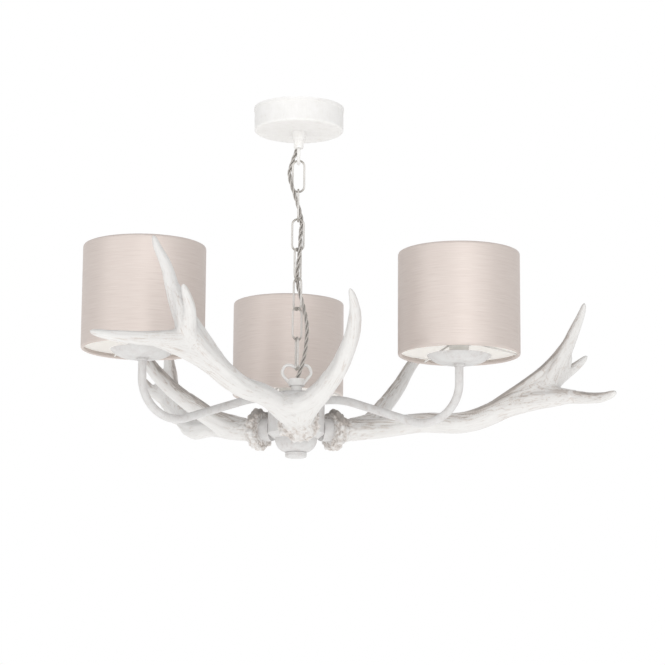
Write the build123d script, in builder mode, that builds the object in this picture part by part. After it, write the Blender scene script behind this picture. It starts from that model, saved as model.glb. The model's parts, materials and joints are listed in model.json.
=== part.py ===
from build123d import *
import math
import os

# Three-light pendant: a ceiling canopy, a chain of oval links with a flex woven through it,
# a turned hub, three swept tube arms with drum shades, and three cast antlers between them.
# Millimetres. The origin is the middle of the ceiling strap's top face, +Z is up, and the
# front of the object faces -Y. Azimuths are degrees about Z, counted from +X.

os.makedirs("parts", exist_ok=True)

# ---------------------------------------------------------------- driving dimensions
# clearances
thread_gap = 0.05        # between a threaded piece and its hole
slip_gap = 0.1           # between a piece and the hole that it slides through
seat_gap = 0.15          # between two wires that hang in each other
wire_gap = 0.4           # round a lead in its bore

# ceiling end
canopy_r = 61.0
canopy_height = 33.0
canopy_wall = 1.5
canopy_lip = 0.8         # how far the rolled rim stands out
canopy_lip_height = 4.0
canopy_corner = 3.0
canopy_hole_r = 4.5      # for the flex grommet
strap_length = 96.0
strap_width = 20.0
strap_thickness = 2.0
strap_hole_r = 2.6
strap_hole_spacing = 80.0
strap_boss_r = 9.0
strap_boss_height = 9.0
stem_r = 5.0
collar_height = 12.4
collar_top_r = 9.6
collar_bottom_r = 8.2
ferrule_r = 6.7
ferrule_height = 11.1
hook_wire = 4.5
hook_ring_r = 9.6        # centreline of the hook's ring
hook_sink = 0.5          # how far the ring is let into the ferrule
block_length = 30.0
block_width = 16.0
block_height = 14.0
block_offset = 21.0      # from the axis to the middle of the terminal block
block_ways = 3
block_way_r = 2.2

# chain
link_count = 7
link_wire = 2.8
link_length = 46.84      # outside
link_width = 18.5        # outside
link_azimuths = (0, 90, 0, 58, 130, 40, 100)

# hanging loop on the hub
loop_wire = 4.0
loop_rise = 82.3         # from the antlers' axis to the middle of the wire that carries the load
loop_flat = 3.0          # from the axis to the corner of the dip between the lobes
loop_lobe_x = 7.5
loop_lobe_z = 2.7
loop_shoulder_x = 16.0
loop_side_x = 20.5
loop_side_drop = 8.3
loop_foot_x = 8.0
loop_collar_r = 10.7
loop_collar_bottom = 56.5
loop_collar_top = 66.0
loop_neck_r = 7.4
loop_mouth_r = 5.2
loop_mouth_depth = 6.5
loop_bends = (8.0, 7.0, 6.0, 5.5)    # from the collar up to the dip

# hub, heights are above the antlers' axis
hub_r = 38.0
hub_wall = 8.0
hub_bottom = -15.0
hub_floor = 6.0
hub_skirt_r = 29.5
hub_skirt_height = 7.0
cap_rise = 6.0
cap_edge = 8.0           # width of the lid's rounded edge
cap_wall = 2.6
cap_crown = (1.6, 3.6)   # the rounded edge's middle: in from the hub's side, up from its top
nipple_length = 18.0
nipple_bore_r = 3.3
nipple_stand = 0.5       # how far the nipple stands out below its nut
cap_nut_af = 14.0
cap_nut_height = 4.5
cap_screws_count = 3
cap_screws_lead = 30.0   # degrees from the first arm to the first screw
cap_screw_r = 1.6
cap_screw_length = 12.0
cap_screw_head_r = 2.8
cap_screw_head_height = 1.4
cap_screw_seat = 1.6     # from the hub's top to the underside of the heads
bowl_r = 28.0
bowl_depth = 18.5
bowl_wall = 2.2
bowl_foot_r = 12.9
bowl_belly = (0.86, 0.66)            # share of the bowl's radius and depth at its belly
finial_r = 14.4
finial_height = 7.0
finial_foot_round = 2.4
finial_top_round = 1.2
finial_stud_r = 3.0
connector_r = 14.5
connector_height = 12.0
soft_edge = 1.5          # rounding of small turned and moulded pieces

# arms
arm_azimuths = (-27, 93, 213)
arm_tube_r = 5.5
arm_bore_r = 4.0
arm_wire_r = 3.3
arm_reach = 237.5
arm_exit = 34.3          # height of the arm where it leaves the hub
arm_cover = 0.1          # of hub wall left above an arm's hole
arm_first_bend = (67.0, 110.0)      # distance out, bend radius
arm_trough_corner = -25.5
arm_trough_radius = 50.0
arm_nut_wall = 1.3
arm_nut_height = 5.0
arm_tail = 0.5           # how far the tube stands out behind its nut
arm_top = 76.0
wire_tail = 6.0          # how far the leads run on past the tube

# lamp end, heights are above the antlers' axis
lamp_collar_r = 7.6
lamp_collar_height = 3.6
lamp_collar_round = 1.0
dish_seat = 70.0
dish_r = 42.0
dish_depth = 11.0
dish_wall = 1.3
dish_flat_r = 15.0
dish_sweep = (0.67, 0.33)            # share of the brim's reach and rise at the middle of the curve
holder_r = 13.0
holder_height = 56.0
holder_shoulder_r = 16.5
holder_shoulder = 27.0   # from the holder's foot to the top of its shoulder
holder_shoulder_height = 3.0
socket_r = 7.3
socket_depth = 26.0
ring_r = 16.8
ring_height = 6.5

# drum shades
shade_r = 80.0
shade_height = 136.4
shade_wall = 1.3
shade_bottom = 80.6
shade_hem = 5.5
frame_wire = 2.8
fitter_width = 4.4
fitter_thickness = 1.5
spoke_wire = 2.6
spoke_azimuths = (30, 150, 270)
spoke_sink = 0.2         # how far a spoke is let into the ring and the hoop

# antlers: the hub's three studs were set by hand, so they are not quite evenly spaced
antler_azimuths = (-87, 26, 150)
antler_twists = (0, 6, -1)
antler_face = 50.0       # from the hub's axis to the flat back of the burr
stub_r = 15.5
burr_r = 27.0
burr_depth = 14.0
burr_back_r = 23.0
burr_front_r = 21.0
burr_neck_r = 11.0       # inside the beam
burr_neck = 3.0
stub_root = 2.0          # how far the stub reaches round the hub's side
bolt_r = 4.0
bolt_grip = 24.0         # how deep the casting is tapped
bolt_tip_gap = 1.0
bolt_head_r = 6.5
bolt_head_height = 4.5

# limb axes in the casting's own frame: X out from the hub, Y anticlockwise, Z up
beam_points = (
    (57, 1, 0),
    (103, -16, 4.7),
    (160, -46.5, 16.4),
    (217, -86, 22.5),
    (262, -126, 50),
    (301, -153, 75),
)
beam_radii = (15.5, 14.2, 13.6, 13.8, 14.3, 14.8, 15.4, 12.0)
low_tine_points = ((292, -147, 70), (312, -178, 61), (330, -236, 58.5), (331, -269, 65))
low_tine_radii = (12.5, 8.8, 6.6, 4.4, 0.9)
top_tine_points = ((294, -146, 66), (309, -166, 114), (320, -178, 154), (324, -194, 188))
top_tine_radii = (13.0, 9.6, 7.6, 5.6, 0.9)
back_tine_points = ((296, -150, 72), (330, -147, 94), (357, -157, 121))
back_tine_radii = (12.0, 8.4, 6.2, 0.9)
brow_points = ((88, -9, 2), (136, 28, 30), (177, 51.5, 68), (209, 62, 111), (236, 52.5, 145))
brow_radii = (12.5, 12.6, 11.0, 9.2, 7.0, 0.9)

# flex: woven through the chain, in mm from the axis and below the ceiling
flex_r = 2.6
grommet_y = 16.2
grommet_r = 6.0
grommet_height = 5.0
grommet_brim = 1.5
flex_bend_r = 15.6       # least allowed: three diameters of a limp cord
flex_arc_share = 0.45    # of the shorter run that an arc takes up

# ---------------------------------------------------------------- heights that follow
collar_z = -canopy_height - collar_height
ferrule_z = collar_z - ferrule_height
hook_z = ferrule_z - hook_ring_r - hook_wire / 2 + hook_sink
hook_bottom = hook_z - hook_ring_r
link_run = link_length - link_wire
link_end_r = (link_width - link_wire) / 2
first_link_z = hook_bottom + hook_wire / 2 + link_wire / 2 + seat_gap
link_pitch = link_run - link_wire - seat_gap
last_link_bottom = first_link_z - link_pitch * (link_count - 1) - link_run
loop_z = last_link_bottom + link_wire / 2 + loop_wire / 2 + seat_gap
hub_z = loop_z - loop_rise
hub_top = arm_exit + arm_tube_r + slip_gap + arm_cover
cap_flat_r = hub_r - cap_edge
cap_inside = hub_top + cap_rise - cap_wall
hub_floor_top = hub_bottom + hub_floor
nipple_bottom = cap_inside - cap_nut_height - nipple_stand
connector_top = nipple_bottom - seat_gap
# a flat nut or bolt head bears on the round inside of the hub's wall
hub_inside_r = hub_r - hub_wall
arm_nut_r = arm_tube_r + arm_nut_wall
arm_nut_face = math.sqrt(hub_inside_r**2 - arm_nut_r**2) - slip_gap
arm_start = arm_nut_face - arm_nut_height - arm_tail
bolt_seat = math.sqrt(hub_inside_r**2 - bolt_head_r**2) - slip_gap
holder_foot = dish_seat + dish_wall + slip_gap
shoulder_z = holder_foot + holder_shoulder
fitter_inner_r = holder_r + 2 * slip_gap
fitter_outer_r = fitter_inner_r + fitter_width
hoop_r = shade_r - shade_wall - frame_wire / 2 - slip_gap
hoop_z = shade_bottom + shade_wall + frame_wire / 2 + slip_gap
top_hoop_z = shade_bottom + shade_height - frame_wire / 2


def save(part, name):
    # one labelled solid or group of solids to its own file
    part.label = name
    export_step(part, f"parts/{name}.step")
    print(f"{name}: {len(part.solids())} solid(s), {part.volume:.0f} mm3")


def turned(part, azimuth):
    # a copy of a piece turned about the hub's axis
    return part.rotate(Axis.Z, azimuth)


def outwards(azimuth):
    # level direction away from the axis
    return Vector(1, 0, 0).rotate(Axis.Z, azimuth)


def cap_screw_places():
    # round the hub's wall, between the arms
    start = arm_azimuths[0] + cap_screws_lead
    return PolarLocations(hub_r - hub_wall / 2, cap_screws_count, start_angle=start)


# ---------------------------------------------------------------- ceiling end
with BuildPart() as ceiling_strap:
    with BuildSketch(Plane.XY.offset(-strap_thickness)):
        SlotOverall(strap_length, strap_width)
        with GridLocations(strap_hole_spacing, 0, 2, 1):
            Circle(strap_hole_r, mode=Mode.SUBTRACT)
    extrude(amount=strap_thickness)
    with BuildSketch(Plane.XY.offset(-strap_thickness)):
        Circle(strap_boss_r)
    extrude(amount=-strap_boss_height)
    with BuildSketch(Plane.XY.offset(-strap_thickness)):
        Circle(stem_r + thread_gap)
    extrude(amount=-strap_boss_height, mode=Mode.SUBTRACT)
save(ceiling_strap.part, "ceiling_strap")

with BuildPart() as canopy:
    with BuildSketch(Plane.XY.offset(-canopy_height)):
        Circle(canopy_r)
    extrude(amount=canopy_height)
    with BuildSketch(Plane.XY.offset(-canopy_lip_height)):
        Circle(canopy_r + canopy_lip)
    extrude(amount=canopy_lip_height)
    fillet(canopy.edges().group_by(Axis.Z)[0], canopy_corner)
    with BuildSketch(Plane.XY.offset(canopy_wall - canopy_height)):
        Circle(canopy_r - canopy_wall)
    extrude(amount=canopy_height - canopy_wall, mode=Mode.SUBTRACT)
    with BuildSketch(Plane.XY.offset(-canopy_height)):
        Circle(stem_r + slip_gap)
        with Locations((0, grommet_y)):
            Circle(canopy_hole_r)
    extrude(amount=canopy_wall, mode=Mode.SUBTRACT)
save(canopy.part, "canopy")

with BuildPart() as canopy_collar:
    with BuildSketch(Plane.XY.offset(-canopy_height)):
        Circle(collar_top_r)
    with BuildSketch(Plane.XY.offset(collar_z)):
        Circle(collar_bottom_r)
    loft()
    with BuildSketch(Plane.XY.offset(collar_z)):
        Circle(stem_r + thread_gap)
    extrude(amount=collar_height, mode=Mode.SUBTRACT)
save(canopy_collar.part, "canopy_collar")

with BuildPart() as ceiling_hook:
    with BuildSketch(Plane.XY.offset(ferrule_z)):
        Circle(ferrule_r)
    extrude(amount=ferrule_height)
    fillet(ceiling_hook.edges().group_by(Axis.Z)[0], soft_edge)
    with BuildSketch(Plane.XY.offset(ferrule_z)):
        Circle(stem_r)
    extrude(amount=-ferrule_z - strap_thickness)
    with BuildSketch(Plane.XZ):
        with Locations((0, hook_bottom)):
            Circle(hook_wire / 2)
    revolve(axis=Axis((0, 0, hook_z), (1, 0, 0)))
save(ceiling_hook.part, "ceiling_hook")

with BuildPart() as flex_grommet:
    grommet_centre = (0, grommet_y)
    with BuildSketch(Plane.XY.offset(-canopy_height)):
        with Locations(grommet_centre):
            Circle(canopy_hole_r - slip_gap)
    extrude(amount=grommet_height)
    with BuildSketch(Plane.XY.offset(-canopy_height)):
        with Locations(grommet_centre):
            Circle(grommet_r)
    extrude(amount=-grommet_brim)
    with BuildSketch(Plane.XY.offset(canopy_wall - canopy_height)):
        with Locations(grommet_centre):
            Circle(grommet_r)
    extrude(amount=grommet_brim)
    with BuildSketch(Plane.XY.offset(-canopy_height - grommet_brim)):
        with Locations(grommet_centre):
            Circle(flex_r + wire_gap)
    extrude(amount=grommet_brim + grommet_height, mode=Mode.SUBTRACT)
save(flex_grommet.part, "flex_grommet")

with BuildPart() as terminal_block:
    with BuildSketch(Plane.XY.offset(-strap_thickness)):
        with Locations((0, block_offset)):
            Rectangle(block_length, block_width)
    extrude(amount=-block_height)
    fillet(terminal_block.edges().filter_by(Axis.Z), soft_edge)
    with BuildSketch(Plane.XZ.offset(-block_offset - block_width / 2)):
        with Locations((0, -strap_thickness - block_height / 2)):
            with GridLocations(block_length / block_ways, 0, block_ways, 1):
                Circle(block_way_r)
    extrude(amount=block_width, mode=Mode.SUBTRACT)
save(terminal_block.part, "terminal_block")

# ---------------------------------------------------------------- chain
with BuildPart() as link:
    # one oval link in the XZ plane, hanging from the middle of its top wire at the origin
    for end_z in (-link_end_r, link_end_r - link_run):
        with BuildSketch(Plane.XY.offset(end_z)):
            with Locations((link_end_r, 0)):
                Circle(link_wire / 2)
        turn = 180 if end_z < -link_run / 2 else -180
        revolve(axis=Axis((0, 0, end_z), (0, 1, 0)), revolution_arc=turn)
    with BuildSketch(Plane.XY.offset(link_end_r - link_run)):
        with GridLocations(2 * link_end_r, 0, 2, 1):
            Circle(link_wire / 2)
    extrude(amount=link_run - 2 * link_end_r)

for number, azimuth in enumerate(link_azimuths):
    link_z = first_link_z - number * link_pitch
    save(turned(link.part, azimuth).translate((0, 0, link_z)), f"chain_link_{number + 1}")

# ---------------------------------------------------------------- hanging loop
with BuildPart() as hanging_loop:
    side = (
        (loop_foot_x, hub_z + loop_collar_bottom + loop_wire / 2),
        (loop_side_x, loop_z - loop_side_drop),
        (loop_shoulder_x, loop_z + loop_lobe_z),
        (loop_lobe_x, loop_z + loop_lobe_z),
        (loop_flat, loop_z),
    )
    other_side = [(-x, z) for x, z in reversed(side)]
    with BuildLine(Plane.XZ) as heart_line:
        FilletPolyline(*side, *other_side, radius=loop_bends + loop_bends[::-1])
    with BuildSketch(Plane(origin=heart_line.line @ 0, z_dir=heart_line.line % 0)):
        Circle(loop_wire / 2)
    sweep(path=heart_line.line)
    with BuildSketch(Plane.XY.offset(hub_z + loop_collar_bottom)):
        Circle(loop_collar_r)
    extrude(amount=loop_collar_top - loop_collar_bottom)
    with BuildSketch(Plane.XY.offset(hub_z + hub_top + cap_rise)):
        Circle(loop_neck_r)
    extrude(amount=loop_collar_bottom - hub_top - cap_rise)
    with BuildSketch(Plane.XY.offset(hub_z + hub_top + cap_rise)):
        Circle(flex_r + wire_gap)
    extrude(amount=loop_collar_top - hub_top, mode=Mode.SUBTRACT)
    with BuildSketch(Plane.XY.offset(hub_z + hub_top + cap_rise)):
        Circle(stem_r + thread_gap)
    extrude(amount=nipple_bottom + nipple_length - hub_top - cap_rise + slip_gap, mode=Mode.SUBTRACT)
    with BuildSketch(Plane.XY.offset(hub_z + loop_collar_top)):
        Circle(loop_mouth_r)
    with BuildSketch(Plane.XY.offset(hub_z + loop_collar_top - loop_mouth_depth)):
        Circle(flex_r + wire_gap)
    loft(mode=Mode.SUBTRACT)
save(hanging_loop.part, "hanging_loop")

with BuildPart() as cap_nipple:
    with BuildSketch(Plane.XY.offset(hub_z + nipple_bottom)):
        Circle(stem_r)
        Circle(nipple_bore_r, mode=Mode.SUBTRACT)
    extrude(amount=nipple_length)
save(cap_nipple.part, "cap_nipple")

with BuildPart() as cap_nut:
    with BuildSketch(Plane.XY.offset(hub_z + cap_inside - cap_nut_height)):
        RegularPolygon(cap_nut_af / 2, 6, major_radius=False)
        Circle(stem_r + thread_gap, mode=Mode.SUBTRACT)
    extrude(amount=cap_nut_height)
save(cap_nut.part, "cap_nut")

# ---------------------------------------------------------------- hub
with BuildPart() as hub_cap:
    with BuildSketch(Plane.XZ):
        with BuildLine():
            outer_top = (cap_flat_r, hub_z + hub_top + cap_rise)
            Line((stem_r + slip_gap, hub_z + hub_top + cap_rise), outer_top)
            outer_edge = (hub_r, hub_z + hub_top)
            crown = (hub_r - cap_crown[0], hub_z + hub_top + cap_crown[1])
            ThreePointArc(outer_top, crown, outer_edge)
            Polyline(
                outer_edge,
                (hub_inside_r, hub_z + hub_top),
                (cap_flat_r - soft_edge, hub_z + cap_inside),
                (stem_r + slip_gap, hub_z + cap_inside),
                (stem_r + slip_gap, hub_z + hub_top + cap_rise),
            )
        make_face()
    revolve(axis=Axis.Z)
    with BuildSketch(Plane.XY.offset(hub_z + hub_top)):
        with cap_screw_places():
            Circle(cap_screw_r + slip_gap)
    extrude(amount=cap_rise, mode=Mode.SUBTRACT)
    with BuildSketch(Plane.XY.offset(hub_z + hub_top + cap_screw_seat)):
        with cap_screw_places():
            Circle(cap_screw_head_r + slip_gap)
    extrude(amount=cap_rise, mode=Mode.SUBTRACT)
save(hub_cap.part, "hub_cap")

with BuildPart() as cap_screws:
    with BuildSketch(Plane.XY.offset(hub_z + hub_top + cap_screw_seat)):
        with cap_screw_places():
            Circle(cap_screw_r)
    extrude(amount=-cap_screw_length)
    with BuildSketch(Plane.XY.offset(hub_z + hub_top + cap_screw_seat)):
        with cap_screw_places():
            Circle(cap_screw_head_r)
    extrude(amount=cap_screw_head_height)
save(cap_screws.part, "cap_screws")

with BuildPart() as hub_body:
    with BuildSketch(Plane.XY.offset(hub_z + hub_bottom + hub_skirt_height)):
        Circle(hub_r)
    extrude(amount=hub_top - hub_bottom - hub_skirt_height)
    with BuildSketch(Plane.XY.offset(hub_z + hub_bottom + hub_skirt_height)):
        Circle(hub_r)
    with BuildSketch(Plane.XY.offset(hub_z + hub_bottom)):
        Circle(hub_skirt_r)
    loft()
    with BuildSketch(Plane.XY.offset(hub_z + hub_floor_top)):
        Circle(hub_inside_r)
    extrude(amount=hub_top - hub_floor_top, mode=Mode.SUBTRACT)
    with BuildSketch(Plane.XY.offset(hub_z + hub_bottom)):
        Circle(finial_stud_r + thread_gap)
    extrude(amount=hub_floor, mode=Mode.SUBTRACT)
    with BuildSketch(Plane.XY.offset(hub_z + hub_top)):
        with cap_screw_places():
            Circle(cap_screw_r + thread_gap)
    extrude(amount=cap_screw_seat - cap_screw_length, mode=Mode.SUBTRACT)
    for azimuth in arm_azimuths:
        with BuildSketch(Plane(origin=(0, 0, hub_z + arm_exit), z_dir=outwards(azimuth))):
            Circle(arm_tube_r + slip_gap)
        extrude(amount=2 * hub_r, mode=Mode.SUBTRACT)
    for azimuth in antler_azimuths:
        with BuildSketch(Plane(origin=(0, 0, hub_z), z_dir=outwards(azimuth))):
            Circle(bolt_r + slip_gap)
        extrude(amount=2 * hub_r, mode=Mode.SUBTRACT)
save(hub_body.part, "hub_body")

with BuildPart() as hub_connector:
    with BuildSketch(Plane.XY.offset(hub_z + connector_top)):
        Circle(connector_r)
    extrude(amount=-connector_height)
    fillet(hub_connector.edges().group_by(Axis.Z)[0], soft_edge)
save(hub_connector.part, "hub_connector")

with BuildPart() as hub_bowl:
    belly_r, belly_depth = bowl_belly
    for shrink, mode in ((0, Mode.ADD), (bowl_wall, Mode.SUBTRACT)):
        rim = (bowl_r - shrink, hub_z + hub_bottom)
        belly = (bowl_r * belly_r - shrink, rim[1] - bowl_depth * belly_depth + shrink / 2)
        foot = (bowl_foot_r - shrink / 2, rim[1] - bowl_depth + shrink)
        with BuildSketch(Plane.XZ):
            with BuildLine():
                ThreePointArc(rim, belly, foot)
                Polyline(foot, (0, foot[1]), (0, rim[1]), rim)
            make_face()
        revolve(axis=Axis.Z, mode=mode)
    with BuildSketch(Plane.XY.offset(hub_z + hub_bottom - bowl_depth)):
        Circle(finial_stud_r + slip_gap)
    extrude(amount=bowl_wall, mode=Mode.SUBTRACT)
save(hub_bowl.part, "hub_bowl")

with BuildPart() as finial:
    finial_top = hub_z + hub_bottom - bowl_depth
    with BuildSketch(Plane.XY.offset(finial_top)):
        Circle(finial_r)
    extrude(amount=-finial_height)
    fillet(finial.edges().group_by(Axis.Z)[0], finial_foot_round)
    fillet(finial.edges().group_by(Axis.Z)[-1], finial_top_round)
    with BuildSketch(Plane.XY.offset(finial_top)):
        Circle(finial_stud_r)
    extrude(amount=bowl_depth + hub_floor)
save(finial.part, "finial")

# ---------------------------------------------------------------- arms and lamp ends
with BuildPart() as arm:
    # in the XZ plane: level out of the hub, down to a trough and up to the lamp
    bend_out, bend_r = arm_first_bend
    with BuildLine(Plane.XZ) as arm_line:
        FilletPolyline(
            (arm_start, hub_z + arm_exit),
            (bend_out, hub_z + arm_exit),
            (arm_reach, hub_z + arm_trough_corner),
            (arm_reach, hub_z + arm_top),
            radius=[bend_r, arm_trough_radius],
        )
    with BuildSketch(Plane(origin=arm_line.line @ 0, z_dir=arm_line.line % 0)):
        Circle(arm_tube_r)
        Circle(arm_bore_r, mode=Mode.SUBTRACT)
    sweep(path=arm_line.line)

with BuildPart() as arm_wire:
    # from the hub's connector, through the arm, to the lampholder
    with BuildLine(Plane.XZ) as wire_line:
        FilletPolyline(
            (connector_r, hub_z + arm_exit),
            (bend_out, hub_z + arm_exit),
            (arm_reach, hub_z + arm_trough_corner),
            (arm_reach, hub_z + arm_top + wire_tail),
            radius=[bend_r, arm_trough_radius],
        )
    with BuildSketch(Plane(origin=wire_line.line @ 0, z_dir=wire_line.line % 0)):
        Circle(arm_wire_r)
    sweep(path=wire_line.line)

with BuildPart() as arm_nut:
    with BuildSketch(Plane.YZ.offset(arm_nut_face - arm_nut_height)):
        with Locations((0, hub_z + arm_exit)):
            Circle(arm_nut_r)
            Circle(arm_tube_r + thread_gap, mode=Mode.SUBTRACT)
    extrude(amount=arm_nut_height)

lamp_axis = Plane(origin=(arm_reach, 0, hub_z))

with BuildPart() as arm_collar:
    with BuildSketch(lamp_axis.offset(dish_seat - lamp_collar_height)):
        Circle(lamp_collar_r)
    extrude(amount=lamp_collar_height)
    fillet(arm_collar.edges().group_by(Axis.Z)[0], lamp_collar_round)
    with BuildSketch(lamp_axis.offset(dish_seat - lamp_collar_height)):
        Circle(arm_tube_r + thread_gap)
    extrude(amount=lamp_collar_height, mode=Mode.SUBTRACT)

with BuildPart() as drip_dish:
    # a flat seat, then one curve up to the brim
    out_share, up_share = dish_sweep
    hole = arm_reach + arm_tube_r + slip_gap
    flat = arm_reach + dish_flat_r
    sweep_x = flat + out_share * (dish_r - dish_flat_r)
    for rise, mode in ((0, Mode.ADD), (dish_wall, Mode.SUBTRACT)):
        seat = hub_z + dish_seat + rise
        brim = (arm_reach + dish_r, seat + dish_depth)
        with BuildSketch(Plane.XZ):
            with BuildLine():
                Polyline((hole, brim[1]), (hole, seat), (flat, seat))
                ThreePointArc((flat, seat), (sweep_x, seat + up_share * dish_depth), brim)
                Line(brim, (hole, brim[1]))
            make_face()
        revolve(axis=Axis((arm_reach, 0, 0), (0, 0, 1)), mode=mode)

with BuildPart() as lampholder:
    with BuildSketch(lamp_axis.offset(holder_foot)):
        Circle(holder_r)
    extrude(amount=holder_height)
    with BuildSketch(lamp_axis.offset(shoulder_z - holder_shoulder_height)):
        Circle(holder_shoulder_r)
    extrude(amount=holder_shoulder_height)
    fillet(lampholder.edges().group_by(Axis.Z)[0], soft_edge)
    with BuildSketch(lamp_axis.offset(holder_foot)):
        Circle(arm_tube_r + thread_gap)
    extrude(amount=arm_top - holder_foot, mode=Mode.SUBTRACT)
    with BuildSketch(lamp_axis.offset(holder_foot)):
        Circle(arm_wire_r + wire_gap)
    extrude(amount=arm_top + wire_tail - holder_foot, mode=Mode.SUBTRACT)
    with BuildSketch(lamp_axis.offset(holder_foot + holder_height - socket_depth)):
        Circle(socket_r)
    extrude(amount=socket_depth, mode=Mode.SUBTRACT)

with BuildPart() as shade_ring:
    with BuildSketch(lamp_axis.offset(shoulder_z + fitter_thickness + slip_gap)):
        Circle(ring_r)
        Circle(holder_r + thread_gap, mode=Mode.SUBTRACT)
    extrude(amount=ring_height)
    fillet(shade_ring.edges().group_by(Axis.Z)[-1].sort_by(SortBy.LENGTH)[-1], 1)

with BuildPart() as shade_frame:
    with BuildSketch(lamp_axis.offset(shoulder_z)):
        Circle(fitter_outer_r)
        Circle(fitter_inner_r, mode=Mode.SUBTRACT)
    extrude(amount=fitter_thickness)
    for azimuth in spoke_azimuths:
        ring_centre = Vector(arm_reach, 0, hub_z + shoulder_z + fitter_thickness / 2)
        hoop_centre = Vector(arm_reach, 0, hub_z + hoop_z)
        start = ring_centre + outwards(azimuth) * (fitter_outer_r - spoke_sink)
        end = hoop_centre + outwards(azimuth) * (hoop_r - spoke_sink)
        with BuildSketch(Plane(origin=start, z_dir=end - start)):
            Circle(spoke_wire / 2)
        extrude(amount=(end - start).length)
    with BuildSketch(Plane.XZ):
        with Locations((arm_reach + hoop_r, hub_z + hoop_z)):
            Circle(frame_wire / 2)
    revolve(axis=Axis((arm_reach, 0, 0), (0, 0, 1)))

with BuildPart() as shade_hoop:
    with BuildSketch(Plane.XZ):
        with Locations((arm_reach + hoop_r, hub_z + top_hoop_z)):
            Circle(frame_wire / 2)
    revolve(axis=Axis((arm_reach, 0, 0), (0, 0, 1)))

with BuildPart() as shade:
    with BuildSketch(lamp_axis.offset(shade_bottom)):
        Circle(shade_r)
        Circle(shade_r - shade_wall, mode=Mode.SUBTRACT)
    extrude(amount=shade_height)
    with BuildSketch(lamp_axis.offset(shade_bottom)):
        Circle(shade_r)
        Circle(shade_r - shade_hem, mode=Mode.SUBTRACT)
    extrude(amount=shade_wall)

for number, azimuth in enumerate(arm_azimuths):
    for part, name in (
        (arm, "arm"),
        (arm_wire, "arm_wire"),
        (arm_collar, "arm_collar"),
        (drip_dish, "drip_dish"),
        (lampholder, "lampholder"),
        (shade_ring, "shade_ring"),
        (shade_frame, "shade_frame"),
        (shade_hoop, "shade_hoop"),
        (shade, "shade"),
    ):
        save(turned(part.part, azimuth), f"{name}_{number + 1}")
save(Compound(children=[turned(arm_nut.part, azimuth) for azimuth in arm_azimuths]), "arm_nuts")


# ---------------------------------------------------------------- antlers
def limb(points, radii, reference):
    # a tapering limb: circles at equal steps along a smooth axis
    with BuildPart() as grown:
        with BuildLine() as axis:
            Spline(*points)
        last = len(radii) - 1
        for step, radius in enumerate(radii):
            centre = axis.line @ (step / last)
            along = axis.line % (step / last)
            with BuildSketch(Plane(origin=centre, x_dir=reference, z_dir=along)):
                Circle(radius)
        loft()
    return grown.part


with BuildPart() as antler:
    with BuildSketch(Plane.XZ):
        with BuildLine():
            back = (antler_face, burr_back_r)
            front = (antler_face + burr_depth, burr_front_r)
            neck = (front[0] + burr_neck, burr_neck_r)
            ThreePointArc(back, (antler_face + burr_depth / 2, burr_r), front)
            Polyline(front, neck, (neck[0], 0), (antler_face, 0), back)
        make_face()
    revolve(axis=Axis.X)
    add(limb(beam_points, beam_radii, (0, 0, 1)))
    add(limb(brow_points, brow_radii, (0, 1, 0)))
    add(limb(low_tine_points, low_tine_radii, (0, 0, 1)))
    add(limb(top_tine_points, top_tine_radii, (1, 0, 0)))
    add(limb(back_tine_points, back_tine_radii, (0, 1, 0)))
    with BuildSketch(Plane.YZ.offset(antler_face)):
        Circle(bolt_r + thread_gap)
    extrude(amount=bolt_grip, mode=Mode.SUBTRACT)

with BuildPart() as antler_stub:
    with BuildSketch(Plane.YZ.offset(hub_r - stub_root)):
        Circle(stub_r)
        Circle(bolt_r + slip_gap, mode=Mode.SUBTRACT)
    extrude(amount=antler_face - hub_r + stub_root)
    with BuildSketch(Plane.XY.offset(-stub_r)):
        Circle(hub_r + thread_gap)
    extrude(amount=2 * stub_r, mode=Mode.SUBTRACT)

with BuildPart() as antler_bolt:
    with BuildSketch(Plane.YZ.offset(bolt_seat)):
        Circle(bolt_r)
    extrude(amount=antler_face + bolt_grip - bolt_tip_gap - bolt_seat)
    with BuildSketch(Plane.YZ.offset(bolt_seat)):
        RegularPolygon(bolt_head_r, 6)
    extrude(amount=-bolt_head_height)

for number, (azimuth, twist) in enumerate(zip(antler_azimuths, antler_twists)):
    casting = turned(antler.part.rotate(Axis.X, twist), azimuth)
    save(casting.translate((0, 0, hub_z)), f"antler_{number + 1}")
    save(turned(antler_stub.part, azimuth).translate((0, 0, hub_z)), f"antler_stub_{number + 1}")
bolts = [turned(antler_bolt.part, azimuth).translate((0, 0, hub_z)) for azimuth in antler_azimuths]
save(Compound(children=bolts), "antler_bolts")

# ---------------------------------------------------------------- flex
# woven through the chain; heights are above the antlers' axis
flex_points = (
    (0, grommet_y, -hub_z - strap_thickness - block_height),
    (0, grommet_y, 404),
    (-2.5, 13.5, 388),
    (-8.5, 8, 370),
    (-13.8, 0, 350),
    (-7.5, -7, 328),
    (0, -0.5, 306),
    (5.8, 6.3, 285),
    (3, 0.8, 264.5),
    (3.4, -8, 244.5),
    (0.2, 0.3, 223.5),
    (-1.2, 9.3, 203),
    (3.8, 6, 183),
    (9.4, 0, 162),
    (13.8, -3, 140),
    (13, -4.8, 118),
    (11, -6.2, 100),
    (8, -5.8, 87),
    (4.8, -3.2, 76.5),
    (0, 0, 66),
    (0, 0, connector_top),
)
flex_route = [Vector(x, y, hub_z + z) for x, y, z in flex_points]


def corner_radius(before, corner, after):
    # the largest arc that the two runs beside a corner allow
    turn = math.radians((corner - before).get_angle(after - corner))
    shorter = min((corner - before).length, (after - corner).length)
    return flex_arc_share * shorter / math.tan(turn / 2)


flex_radii = [corner_radius(*flex_route[k:k + 3]) for k in range(len(flex_route) - 2)]
print("flex radii:", [round(radius) for radius in flex_radii], "least allowed", flex_bend_r)

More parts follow.
